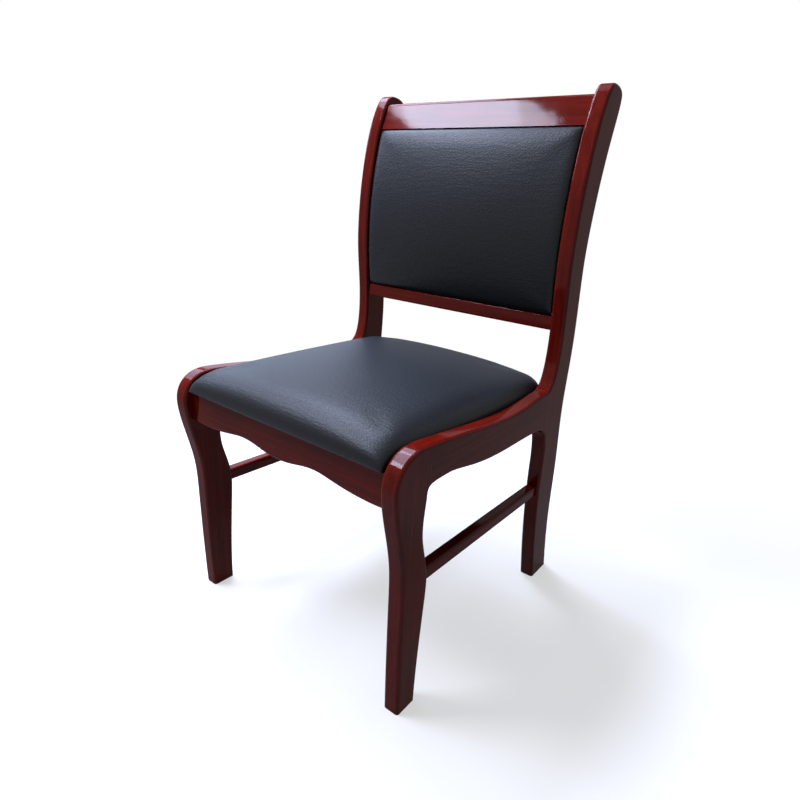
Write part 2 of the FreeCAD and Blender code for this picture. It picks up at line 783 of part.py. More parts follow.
rear_apron = box(
    "rear_apron_blank",
    (f"-{INNER}", REAR_APRON_FRONT, "apron_top - rear_apron_height"),
    (INNER, f"{REAR_APRON_FRONT} + apron_thickness", "apron_top"),
)
rear_joints = [f"{joint}_{word}" for joint in ("rear_apron", "rear_apron_block") for word in SIDES]
bored("rear_apron", rear_apron, *rear_joints)

# Rails of the back
LOW_RAIL_OUTLINE = [
    ("line", (LOW_RAIL_FRONT, LOW_RAIL_BOTTOM)),
    ("line", (f"{LOW_RAIL_FRONT} + low_rail_depth", LOW_RAIL_BOTTOM)),
    ("line", (f"{LOW_RAIL_FRONT} + low_rail_depth", f"{LOW_RAIL_BOTTOM} + low_rail_height")),
    ("line", (LOW_RAIL_FRONT, f"{LOW_RAIL_BOTTOM} + low_rail_height")),
]
low_rail = padded("low_back_rail_blank", "YZ_Plane", LOW_RAIL_OUTLINE, f"2 * {INNER}", both_ways=True)
rounded(low_rail, "small_round", runs_across)
bored("low_back_rail", low_rail, "low_rail_left", "low_rail_right")

CREST_OUTLINE = [
    ("line", (CREST_FRONT, CREST_BOTTOM)),
    ("line", (f"{CREST_FRONT} + crest_depth", CREST_BOTTOM)),
    ("line", (f"{CREST_FRONT} + crest_depth + crest_rake", f"{CREST_BOTTOM} + crest_height")),
    ("line", (f"{CREST_FRONT} + crest_rake", f"{CREST_BOTTOM} + crest_height")),
]
crest = padded("crest_rail_blank", "YZ_Plane", CREST_OUTLINE, f"2 * {INNER}", both_ways=True)
crest_middle = value(f"{CREST_BOTTOM} + crest_height / 2")
rounded(crest, "crest_round", lambda edge: runs_across(edge) and edge.CenterOfMass.z > crest_middle)
bored("crest_rail", crest, "crest_left", "crest_right")

# Corner blocks inside the seat frame
BLOCK_ENDS = {
    "front": (APRON_REAR, "+", ("leg_block", "apron_block", "seat_front")),
    "rear": (REAR_APRON_FRONT, "-", ("rail_block", "rear_apron_block", "seat_rear")),
}
for end, (corner, inward, joints) in BLOCK_ENDS.items():
    for word, side in SIDES.items():
        triangle = [
            ("line", (signed(side, INNER), corner)),
            ("line", (signed(side, f"{INNER} - block_side"), corner)),
            ("line", (signed(side, INNER), f"{corner} {inward} block_side")),
        ]
        block = padded(f"corner_block_{end}_{word}_blank", "XY_Plane", triangle, "block_height")
        put(block, z=BLOCK_BOTTOM)
        bored(f"corner_block_{end}_{word}", block, *(f"{joint}_{word}" for joint in joints))

# Seat: board, foam and the crowned cover that wraps them
BOARD_HALF = f"({SEAT_HALF} - cover_wrap)"
board = box(
    "seat_board_blank",
    (f"-{BOARD_HALF}", f"{SEAT_FRONT} + cover_wrap", "apron_top"),
    (BOARD_HALF, f"{SEAT_REAR} - cover_wrap", "apron_top + seat_board_thickness"),
)
board_joints = [f"{joint}_{word}" for joint in ("seat_front", "seat_rear") for word in SIDES]
bored("seat_board", board, *board_joints)
FOAM_HALF = f"({BOARD_HALF} - seat_foam_inset)"
foam = box(
    "seat_foam",
    (f"-{FOAM_HALF}", f"{SEAT_FRONT} + cover_wrap + seat_foam_inset", "apron_top + seat_board_thickness"),
    (
        FOAM_HALF,
        f"{SEAT_REAR} - cover_wrap - seat_foam_inset",
        "apron_top + seat_board_thickness + seat_foam_thickness",
    ),
)
keep(foam, "seat_foam")


def seat_section(body, number, place, half, edge, rise):
    """Cross-section of the seat cushion: tucked-in sides under a crowned top."""
    segments = [
        ("line", (f"seat_tuck - ({half})", SEAT_BASE)),
        ("line", (f"({half}) - seat_tuck", SEAT_BASE)),
        ("arc", (half, f"{SEAT_BASE} + {edge}"), ("0", f"{SEAT_BASE} + {edge} + {rise}")),
        ("line", (f"-({half})", f"{SEAT_BASE} + {edge}")),
    ]
    return outline(body, f"seat_section_{number}", "XZ_Plane", segments, f"-({place})")


def seat_roll(edge, rise):
    """Steps of the roll from a seat edge to its lip: depth, half width, side height and crown."""
    steps = []
    for step in range(ROLL_STEPS + 1):
        turn = f"(90 deg * {step} / {ROLL_STEPS})"
        half = f"{SEAT_HALF} - seat_lip_inset * (1 - sin{turn})"
        height = f"(seat_lip_height + ({edge} - seat_lip_height) * sin{turn})"
        crown = f"(seat_lip_rise + ({rise} - seat_lip_rise) * sin{turn})"
        steps.append((f"seat_roll * (1 - cos{turn})", half, height, crown))
    return steps


front_roll = seat_roll("seat_edge_height", "seat_edge_rise")
rear_roll = seat_roll("seat_rear_height", "seat_rear_rise")
stations = [(f"{SEAT_FRONT} + {depth}", *rest) for depth, *rest in front_roll]
stations.append((f"{SEAT_REAR} - seat_hollow_back", SEAT_HALF, "seat_side_height", "seat_crown_rise"))
stations += [(f"{SEAT_REAR} - {depth}", *rest) for depth, *rest in reversed(rear_roll)]
cushion = doc.addObject("PartDesign::Body", "seat_cover_blank")
sections = [seat_section(cushion, number, *station) for number, station in enumerate(stations)]
loft = cushion.newObject("PartDesign::AdditiveLoft", "seat_cover_loft")
loft.Profile = sections[0]
loft.Sections = sections[1:]
loft.Ruled = True
cut("seat_cover", cushion, [board, foam])

# Dust cover under the seat board, with its corners cut to clear the blocks
DUST_FRONT = f"({APRON_REAR} + dust_cover_gap)"
DUST_REAR = f"({REAR_APRON_FRONT} - dust_cover_gap)"
DUST_NARROW = f"({INNER} - block_side - dust_cover_gap)"
DUST_CORNER = f"(block_side + dust_cover_gap - {INNER} + {BOARD_HALF})"
DUST_OUTLINE = [
    ("line", (f"-{DUST_NARROW}", DUST_FRONT)),
    ("line", (DUST_NARROW, DUST_FRONT)),
    ("line", (BOARD_HALF, f"{DUST_FRONT} + {DUST_CORNER}")),
    ("line", (BOARD_HALF, f"{DUST_REAR} - {DUST_CORNER}")),
    ("line", (DUST_NARROW, DUST_REAR)),
    ("line", (f"-{DUST_NARROW}", DUST_REAR)),
    ("line", (f"-{BOARD_HALF}", f"{DUST_REAR} - {DUST_CORNER}")),
    ("line", (f"-{BOARD_HALF}", f"{DUST_FRONT} + {DUST_CORNER}")),
]
dust = padded("dust_cover", "XY_Plane", DUST_OUTLINE, "dust_cover_thickness", -1)
put(dust, z="apron_top")
keep(dust, "dust_cover")


# How far the bend leans back for each millimetre past the cushion's lower and upper edges
BEND_LEAN_BOTTOM = f"((3 * {PAD_LINE_BOTTOM} + {PAD_LINE_TOP} - 4 * {PAD_LINE_MIDDLE}) / {PAD_HEIGHT})"
BEND_LEAN_TOP = f"((3 * {PAD_LINE_TOP} + {PAD_LINE_BOTTOM} - 4 * {PAD_LINE_MIDDLE}) / {PAD_HEIGHT})"


def panel_outline(near, far, reach="0"):
    """Side outline of a bent panel between two depths behind the cushion's front line.

    The panel reaches past the cushion's lower and upper edges along its bend.
    """
    low = f"{PAD_BOTTOM} - {reach}"
    high = f"{PAD_TOP} + {reach}"
    bottom = f"{PAD_LINE_BOTTOM} + {reach} * {BEND_LEAN_BOTTOM}"
    top = f"{PAD_LINE_TOP} + {reach} * {BEND_LEAN_TOP}"
    return [
        ("line", (f"{bottom} + {near}", low)),
        ("arc", (f"{bottom} + {far}", low), (f"{PAD_LINE_MIDDLE} + {far}", PAD_MIDDLE)),
        ("line", (f"{top} + {far}", high)),
        ("arc", (f"{top} + {near}", high), (f"{PAD_LINE_MIDDLE} + {near}", PAD_MIDDLE)),
    ]


# Back: bent board, foam and crowned cover, cleats on the posts and a rear panel
FOAM_FRONT = "pad_thickness - back_foam_thickness"
board_outline = panel_outline("pad_thickness", BOARD_REAR)
cleat_outline = panel_outline(BOARD_REAR, CLEAT_REAR)
PANEL_FRONT = f"{CLEAT_REAR} + panel_gap"
rear_outline = panel_outline(PANEL_FRONT, f"{PANEL_FRONT} + rear_panel_thickness", "(pad_gap - panel_gap)")
slab_outline = panel_outline(FOAM_FRONT, "pad_thickness")
back_board = padded("back_board_blank", "YZ_Plane", board_outline, f"2 * {PAD_HALF}", both_ways=True)
bored("back_board", back_board, "cleat_left", "cleat_right")
REAR_WIDTH = f"2 * ({INNER} - panel_gap)"
keep(padded("back_rear_panel", "YZ_Plane", rear_outline, REAR_WIDTH, both_ways=True), "back_rear_panel")
for word, side in SIDES.items():
    cleat = padded(f"back_cleat_{word}_blank", "YZ_Plane", cleat_outline, "cleat_width", -side)
    put(cleat, x=signed(side, INNER))
    bored(f"back_cleat_{word}", cleat, f"cleat_{word}")

slab = padded("back_foam_slab", "YZ_Plane", slab_outline, f"2 * {PAD_HALF}", both_ways=True)
FOAM_SIDE = f"({PAD_HALF} - back_foam_inset)"
bounds = box(
    "back_foam_bounds",
    (f"-{FOAM_SIDE}", "0", f"{PAD_BOTTOM} + back_foam_inset"),
    (FOAM_SIDE, BACK, f"{PAD_TOP} - back_foam_inset"),
)
back_foam = keep(combined("back_foam", "Common", slab, bounds), "back_foam")


def pad_section(body, number, place, thickness, crown):
    """Upright section of the back cushion, crowned to the front and drawn in at its ends."""
    rear = "pad_thickness - soft_gap"
    face = f"pad_thickness - {thickness}"
    segments = [
        ("line", (f"{PAD_LINE_BOTTOM} + {face}", f"{PAD_BOTTOM} + pad_corner")),
        ("arc", (f"{PAD_LINE_BOTTOM} + {rear}", PAD_BOTTOM), (f"{PAD_LINE_MIDDLE} + {rear}", PAD_MIDDLE)),
        ("line", (f"{PAD_LINE_TOP} + {rear}", PAD_TOP)),
        (
            "arc",
            (f"{PAD_LINE_TOP} + {face}", f"{PAD_TOP} - pad_corner"),
            (f"{PAD_LINE_MIDDLE} + {face} - {crown}", PAD_MIDDLE),
        ),
    ]
    return outline(body, f"pad_section_{number}", "YZ_Plane", segments, place)


pad = doc.addObject("PartDesign::Body", "back_cover_blank")
SHOULDER = f"({PAD_HALF} - pad_shoulder_inset)"
stations = [
    (f"-{PAD_HALF}", "pad_edge_thickness", "0"),
    (f"-{SHOULDER}", "pad_shoulder_thickness", "pad_crown / 2"),
    ("0", "pad_thickness", "pad_crown"),
    (SHOULDER, "pad_shoulder_thickness", "pad_crown / 2"),
    (PAD_HALF, "pad_edge_thickness", "0"),
]
sections = [pad_section(pad, number, *station) for number, station in enumerate(stations)]
loft = pad.newObject("PartDesign::AdditiveLoft", "back_cover_loft")
loft.Profile = sections[0]
loft.Sections = sections[1:]
loft.Ruled = True
cut("back_cover", pad, [back_foam])

doc.recompute()
for item in doc.Objects:
    if "Invalid" in item.State or "Error" in item.State:
        raise RuntimeError(f"{item.Label} failed: {item.State}")
for node, piece in pieces.items():
    if piece.Shape.isNull() or not piece.Shape.isValid() or not piece.Shape.Solids:
        raise RuntimeError(f"{node} has no valid solid")

os.makedirs("parts", exist_ok=True)
for node, piece in pieces.items():
    solids = piece.Shape.Solids
    shape = solids[0] if len(solids) == 1 else Part.makeCompound(solids)
    shape.exportStep(f"parts/{node}.step")
    print(f"{node}: {len(solids)} solid(s), {shape.Volume / 1000:.1f} cm3")
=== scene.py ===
import logging
import math
from dataclasses import dataclass, field
from enum import Enum
from typing import Any

import bmesh
import bpy
from mathutils import Matrix, Quaternion, Vector


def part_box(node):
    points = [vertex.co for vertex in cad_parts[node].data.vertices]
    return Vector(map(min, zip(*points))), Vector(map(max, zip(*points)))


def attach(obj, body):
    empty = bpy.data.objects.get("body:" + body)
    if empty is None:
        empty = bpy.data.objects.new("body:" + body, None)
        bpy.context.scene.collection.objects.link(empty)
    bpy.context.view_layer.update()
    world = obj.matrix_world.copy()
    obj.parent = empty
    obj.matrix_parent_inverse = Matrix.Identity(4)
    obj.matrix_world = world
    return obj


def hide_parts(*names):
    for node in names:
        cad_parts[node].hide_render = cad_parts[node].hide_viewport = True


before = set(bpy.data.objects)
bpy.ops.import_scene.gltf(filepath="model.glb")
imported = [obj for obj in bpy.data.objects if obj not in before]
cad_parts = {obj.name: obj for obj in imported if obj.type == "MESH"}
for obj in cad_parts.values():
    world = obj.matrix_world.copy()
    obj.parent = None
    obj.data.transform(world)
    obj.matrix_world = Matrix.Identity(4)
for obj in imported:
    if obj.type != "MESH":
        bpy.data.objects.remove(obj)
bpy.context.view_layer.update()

LOG = logging.getLogger("conference_chair")
MM = 0.001
BODY = "root"
SRGB_STEPS = 255
SRGB_KNEE = 0.04045
SRGB_SLOPE = 12.92
SRGB_OFFSET = 0.055
SRGB_GAMMA = 2.4

Colour = tuple[float, float, float, float]
Span = tuple[float, float]
Material = bpy.types.Material
Piece = bpy.types.Object
Socket = bpy.types.NodeSocket
Tree = bpy.types.NodeTree

WHITE: Colour = (1.0, 1.0, 1.0, 1.0)
FULL_SPAN: Span = (0.0, 1.0)


class Slot(Enum):
    """Material slots of the record, named for new pieces; nothing in this script uses them."""

    LEATHERETTE = "leatherette"
    BLACK_CLOTH = "black_cloth"
    ZINC_STEEL = "zinc_steel"


class Grain(Enum):
    """Directions in which the grain of a piece can run."""

    ACROSS = (1.0, 0.0, 0.0)
    ALONG = (0.0, 1.0, 0.0)
    UPRIGHT = (0.0, 0.0, 1.0)


def linear(hex_colour: str) -> Colour:
    """Turns an sRGB hex colour to linear light.

    Args:
        hex_colour: Six hex digits, such as "5c1b0e".

    Returns:
        Linear red, green, blue and an alpha of one.
    """
    shares = [int(hex_colour[start:start + 2], 16) / SRGB_STEPS for start in (0, 2, 4)]
    red, green, blue = (
        share / SRGB_SLOPE if share <= SRGB_KNEE
        else ((share + SRGB_OFFSET) / (1 + SRGB_OFFSET)) ** SRGB_GAMMA
        for share in shares
    )
    return (red, green, blue, 1.0)


def per_metre(size_mm: float) -> float:
    """Finds the scale of a texture.

    Args:
        size_mm: Size of one feature of the texture.

    Returns:
        The scale at which a feature has about that size.
    """
    return 1.0 / (size_mm * MM)


def add_node(tree: Tree, kind: str, inputs: dict[Any, Any] | None = None, **settings: Any) -> Any:
    """Adds a node with its settings, values and links.

    Args:
        tree: Node tree that gets the node.
        kind: Blender's name of the node type.
        inputs: Input name or number to a value, or to a socket to link from.
        settings: Properties of the node.

    Returns:
        The new node.
    """
    node = tree.nodes.new(kind)
    for key, setting in settings.items():
        setattr(node, key, setting)
    for key, source in (inputs or {}).items():
        if isinstance(source, Socket):
            tree.links.new(source, node.inputs[key])
        else:
            node.inputs[key].default_value = source
    return node


def object_place(tree: Tree) -> Socket:
    """Gives the place of a point of the surface, in metres.

    Args:
        tree: Node tree that needs it.

    Returns:
        The socket of the place.
    """
    return add_node(tree, "ShaderNodeTexCoord").outputs["Object"]


def stretched(tree: Tree, place: Socket, grain: Grain, scale: float) -> Socket:
    """Draws a texture out along the grain.

    Args:
        tree: Node tree of the texture.
        place: Place of a point of the surface.
        grain: Direction in which the texture is drawn out.
        scale: Scale of the place along the grain, where one leaves it as it is.

    Returns:
        The socket of the scaled place.
    """
    scales = [scale if share else 1.0 for share in grain.value]
    return add_node(tree, "ShaderNodeMapping", {"Vector": place, "Scale": scales}).outputs["Vector"]


def weighted(tree: Tree, first: Socket, weight: float, second: Socket) -> Socket:
    """Adds one value times its weight to another.

    Args:
        tree: Node tree of the values.
        first: Value that takes the weight.
        weight: The weight.
        second: Value that is added as it is.

    Returns:
        The socket of the sum.
    """
    inputs = {0: first, 1: weight, 2: second}
    return add_node(tree, "ShaderNodeMath", inputs, operation="MULTIPLY_ADD").outputs[0]


def rescale(tree: Tree, value: Socket, given: Span, wanted: Span, smooth: bool = False) -> Socket:
    """Carries a value from one span to another.

    Args:
        tree: Node tree of the value.
        value: The value.
        given: Span in which the value lies.
        wanted: Span to which it is carried.
        smooth: Whether the value eases in and out.

    Returns:
        The socket of the carried value.
    """
    return add_node(tree, "ShaderNodeMapRange", {
        "Value": value,
        "From Min": given[0],
        "From Max": given[1],
        "To Min": wanted[0],
        "To Max": wanted[1],
    }, interpolation_type="SMOOTHSTEP" if smooth else "LINEAR").outputs["Result"]


def tones(tree: Tree, share: Socket, stops: list[tuple[float, str]]) -> Socket:
    """Adds a colour ramp.

    Args:
        tree: Node tree that gets the ramp.
        share: Value that picks the colour.
        stops: Position and hex colour of each stop, in order.

    Returns:
        The socket of the colour.
    """
    ramp = add_node(tree, "ShaderNodeValToRGB", {"Fac": share})
    elements = ramp.color_ramp.elements
    while len(elements) < len(stops):
        elements.new(1.0)
    for element, (position, colour) in zip(elements, stops):
        element.position = position
        element.color = linear(colour)
    return ramp.outputs["Color"]


def new_material(name: str) -> tuple[Material, Tree]:
    """Makes an empty node material.

    Args:
        name: Name of the material.

    Returns:
        The material and its node tree.
    """
    material = bpy.data.materials.new(name)
    material.use_nodes = True
    material.node_tree.nodes.clear()
    return material, material.node_tree


def shade(tree: Tree, inputs: dict[str, Any]) -> None:
    """Ends a material with a principled shader.

    Args:
        tree: Node tree of the material.
        inputs: Values and sockets of the shader.
    """
    shader = add_node(tree, "ShaderNodeBsdfPrincipled", inputs)
    add_node(tree, "ShaderNodeOutputMaterial", {"Surface": shader.outputs["BSDF"]})


@dataclass(frozen=True)
class Noise:
    """Noise texture with features of a real size."""

    size_mm: float
    detail: float
    roughness: float = 0.5
    distortion: float = 0.0

    def add(self, tree: Tree, place: Socket) -> Socket:
        """Adds the texture to a node tree.

        Args:
            tree: Node tree that gets the texture.
            place: Place of a point of the surface.

        Returns:
            The socket of its value.
        """
        return add_node(tree, "ShaderNodeTexNoise", {
            "Vector": place,
            "Scale": per_metre(self.size_mm),
            "Detail": self.detail,
            "Roughness": self.roughness,
            "Distortion": self.distortion,
        }).outputs["Fac"]


@dataclass(frozen=True)
class Relief:
    """Fine relief of a surface."""

    strength: float
    depth_mm: float

    def add(self, tree: Tree, height: Socket) -> Socket:
        """Adds the relief to a node tree.

        Args:
            tree: Node tree that gets the relief.
            height: Height of the relief as a share of its depth.

        Returns:
            The socket of the bent normal.
        """
        return add_node(tree, "ShaderNodeBump", {
            "Height": height, "Strength": self.strength, "Distance": self.depth_mm * MM,
        }).outputs["Normal"]


@dataclass(frozen=True)
class LacqueredWood:
    """Hardwood stained mahogany red and sprayed with gloss lacquer.

    The stain gives a deep red with faint darker streaks, and the lacquer sharp reflections
    that waver a little, as a sprayed coat does.
    """

    grain: Grain
    stops: tuple[tuple[float, str], ...] = ((0.15, "450904"), (0.5, "520d06"), (0.9, "5f1208"))
    tone_span: Span = (0.6, 1.15)
    stretch: float = 0.05
    streak: Noise = Noise(9.0, detail=5.0, roughness=0.55, distortion=0.6)
    fibre: Noise = Noise(1.8, detail=3.0, roughness=0.6)
    fibre_weight: float = 0.35
    blotch: Noise = Noise(90.0, detail=2.0)
    blotch_weight: float = 0.4
    ripple: Relief = Relief(0.05, depth_mm=0.4)
    roughness: Span = (0.45, 0.55)
    lacquer: float = 0.16
    lacquer_roughness: float = 0.07
    swell: Noise = Noise(28.0, detail=1.0)
    waver: Relief = Relief(0.06, depth_mm=2.0)

    def material(self) -> Material:
        """Builds the node material.

        Returns:
            The material.
        """
        name = f"mahogany_stained_wood_gloss_lacquer_{self.grain.name.lower()}"
        material, tree = new_material(name)
        place = object_place(tree)
        lined = stretched(tree, place, self.grain, self.stretch)
        streaks = self.streak.add(tree, lined)
        mixed = weighted(tree, self.fibre.add(tree, lined), self.fibre_weight, streaks)
        toned = weighted(tree, self.blotch.add(tree, place), self.blotch_weight, mixed)
        share = rescale(tree, toned, self.tone_span, FULL_SPAN)
        shade(tree, {
            "Base Color": tones(tree, share, list(self.stops)),
            "Roughness": rescale(tree, streaks, FULL_SPAN, self.roughness),
            "Specular IOR Level": 0.0,
            "Coat Weight": self.lacquer,
            "Coat Roughness": self.lacquer_roughness,
            "Coat Normal": self.waver.add(tree, self.swell.add(tree, place)),
            "Normal": self.ripple.add(tree, mixed),
        })
        return material


@dataclass(frozen=True)
class Leatherette:
    """Black coated fabric embossed with a fine leather grain.

    The coating gives a soft blue-grey sheen, and the embossing small pebbles with faint
    creases across. The pebbles are drawn coarser than the real ones so that they show.
    """

    stops: tuple[tuple[float, str], ...] = ((0.0, "131518"), (0.8, "0b0c0e"))
    pebble_mm: float = 2.8
    pebble_scatter: float = 0.9
    crease: Noise = Noise(4.5, detail=4.0, roughness=0.6)
    crease_stretch: float = 0.15
    crease_weight: float = 1.3
    height_span: Span = (0.0, 1.6)
    relief: Relief = Relief(0.55, depth_mm=0.5)
    roughness: Span = (0.63, 0.765)
    coating: float = 0.34
    coating_roughness: float = 0.45
    bloom: float = 0.1
    bloom_roughness: float = 0.36
    bloom_colour: str = "b4c4e2"

    def material(self) -> Material:
        """Builds the node material.

        Returns:
            The material.
        """
        material, tree = new_material("black_leatherette_embossed")
        place = object_place(tree)
        pebbles = add_node(tree, "ShaderNodeTexVoronoi", {
            "Vector": place,
            "Scale": per_metre(self.pebble_mm),
            "Randomness": self.pebble_scatter,
        }, feature="SMOOTH_F1").outputs["Distance"]
        lined = stretched(tree, place, Grain.ACROSS, self.crease_stretch)
        height = weighted(tree, self.crease.add(tree, lined), self.crease_weight, pebbles)
        normal = self.relief.add(tree, height)
        shade(tree, {
            "Base Color": tones(tree, pebbles, list(self.stops)),
            "Roughness": rescale(tree, height, self.height_span, self.roughness),
            "Specular IOR Level": 0.0,
            "Coat Weight": self.coating,
            "Coat Roughness": self.coating_roughness,
            "Coat Normal": normal,
            "Sheen Weight": self.bloom,
            "Sheen Roughness": self.bloom_roughness,
            "Sheen Tint": linear(self.bloom_colour),
            "Normal": normal,
        })
        return material


@dataclass(frozen=True)
class SawnWood:
    """Unfinished hardwood or birch plywood, sawn and sanded.

    It is pale and dull, with fine fibres along the grain and slightly darker pores.
    """

    name: str
    grain: Grain
    pale: str
    dark: str
    dark_stop: float = 0.3
    pale_stop: float = 0.65
    stretch: float = 0.06
    fibre: Noise = Noise(1.4, detail=4.0, roughness=0.65)
    relief: Relief = Relief(0.25, depth_mm=0.3)
    roughness: Span = (0.6, 0.85)

    def material(self) -> Material:
        """Builds the node material.

        Returns:
            The material.
        """
        material, tree = new_material(self.name)
        lined = stretched(tree, object_place(tree), self.grain, self.stretch)
        fibres = self.fibre.add(tree, lined)
        stops = [(self.dark_stop, self.dark), (self.pale_stop, self.pale)]
        shade(tree, {
            "Base Color": tones(tree, fibres, stops),
            "Roughness": rescale(tree, fibres, FULL_SPAN, self.roughness),
            "Normal": self.relief.add(tree, fibres),
        })
        return material


@dataclass(frozen=True)
class NonwovenCloth:
    """Black spun-bonded dust cloth: a dull felt with a small pressed dot pattern."""

    stops: tuple[tuple[float, str], ...] = ((0.15, "0f1012"), (0.5, "24262a"))
    dot_mm: float = 2.5
    dot_scatter: float = 0.1
    relief: Relief = Relief(0.5, depth_mm=0.3)
    roughness: float = 0.9
    specular: float = 0.2

    def material(self) -> Material:
        """Builds the node material.

        Returns:
            The material.
        """
        material, tree = new_material("black_nonwoven_cloth")
        dots = add_node(tree, "ShaderNodeTexVoronoi", {
            "Vector": object_place(tree),
            "Scale": per_metre(self.dot_mm),
            "Randomness": self.dot_scatter,
        }).outputs["Distance"]
        shade(tree, {
            "Base Color": tones(tree, dots, list(self.stops)),
            "Roughness": self.roughness,
            "Specular IOR Level": self.specular,
            "Normal": self.relief.add(tree, dots),
        })
        return material


@dataclass(frozen=True)
class ZincSteel:
    """Steel screws and staples with a bright zinc plate, slightly clouded."""

    stops: tuple[tuple[float, str], ...] = ((0.3, "8f9296"), (0.7, "c3c6ca"))
    cloud: Noise = Noise(2.0, detail=3.0)
    roughness: Span = (0.28, 0.45)

    def material(self) -> Material:
        """Builds the node material.

        Returns:
            The material.
        """
        material, tree = new_material("steel_zinc_plated")
        clouds = self.cloud.add(tree, object_place(tree))
        shade(tree, {
            "Base Color": tones(tree, clouds, list(self.stops)),
            "Metallic": 1.0,
            "Roughness": rescale(tree, clouds, FULL_SPAN, self.roughness),
        })
        return material


def dress(nodes: list[str], material: Material) -> None:
    """Gives CAD nodes their material.

    Args:
        nodes: Names of the nodes.
        material: Material that they take.
    """
    for node in nodes:
        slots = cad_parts[node].data.materials
        slots.clear()
        slots.append(material)
        LOG.info("dressed %s in %s", node, material.name)


def new_piece(name: str, mesh: bmesh.types.BMesh, material: Material) -> Piece:
    """Makes an object from a bmesh.

    Args:
        name: Name of the piece.
        mesh: Its shape, which is freed.
        material: Material that it takes.

    Returns:
        The new object, at the origin.
    """
    bmesh.ops.recalc_face_normals(mesh, faces=mesh.faces[:])
    data = bpy.data.meshes.new(name)
    mesh.to_mesh(data)
    mesh.free()
    data.materials.append(material)
    piece = bpy.data.objects.new(name, data)
    bpy.context.scene.collection.objects.link(piece)
    return piece


def settle(piece: Piece, nodes: list[str]) -> None:
    """Hands a finished piece over to the frame.

    Args:
        piece: The piece, in place.
        nodes: CAD nodes that it stands for.
    """
    for face in piece.data.polygons:
        face.use_smooth = True
    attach(piece, BODY)
    if nodes:
        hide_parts(*nodes)
    LOG.info("%s: %d faces", piece.name, len(piece.data.polygons))


def quarter(distance: float, reach: float) -> float:
    """Follows a rounded edge, which rises as a quarter of a circle.

    Args:
        distance: Distance from the edge.
        reach: Distance at which the full height is reached.

    Returns:
        The height, as a share of the full height.
    """
    share = min(max(distance / reach, 0.0), 1.0)
    return math.sqrt(1 - (1 - share) ** 2)


def spread(share: float) -> float:
    """Moves even steps closer together towards both ends.

    Args:
        share: Step from -1 to 1.

    Returns:
        The moved step, from -1 to 1.
    """
    return math.sin(share * math.pi / 2)


def quadratic(start: float, middle: float, end: float, share: float) -> float:
    """Follows a smooth line through three values.

    Args:
        start: Value at a share of zero.
        middle: Value at a share of one half.
        end: Value at a share of one.
        share: Place on the line.

    Returns:
        The value there.
    """
    return (
        start * (1 - share) * (1 - 2 * share)
        + middle * 4 * share * (1 - share)
        + end * share * (2 * share - 1)
    )


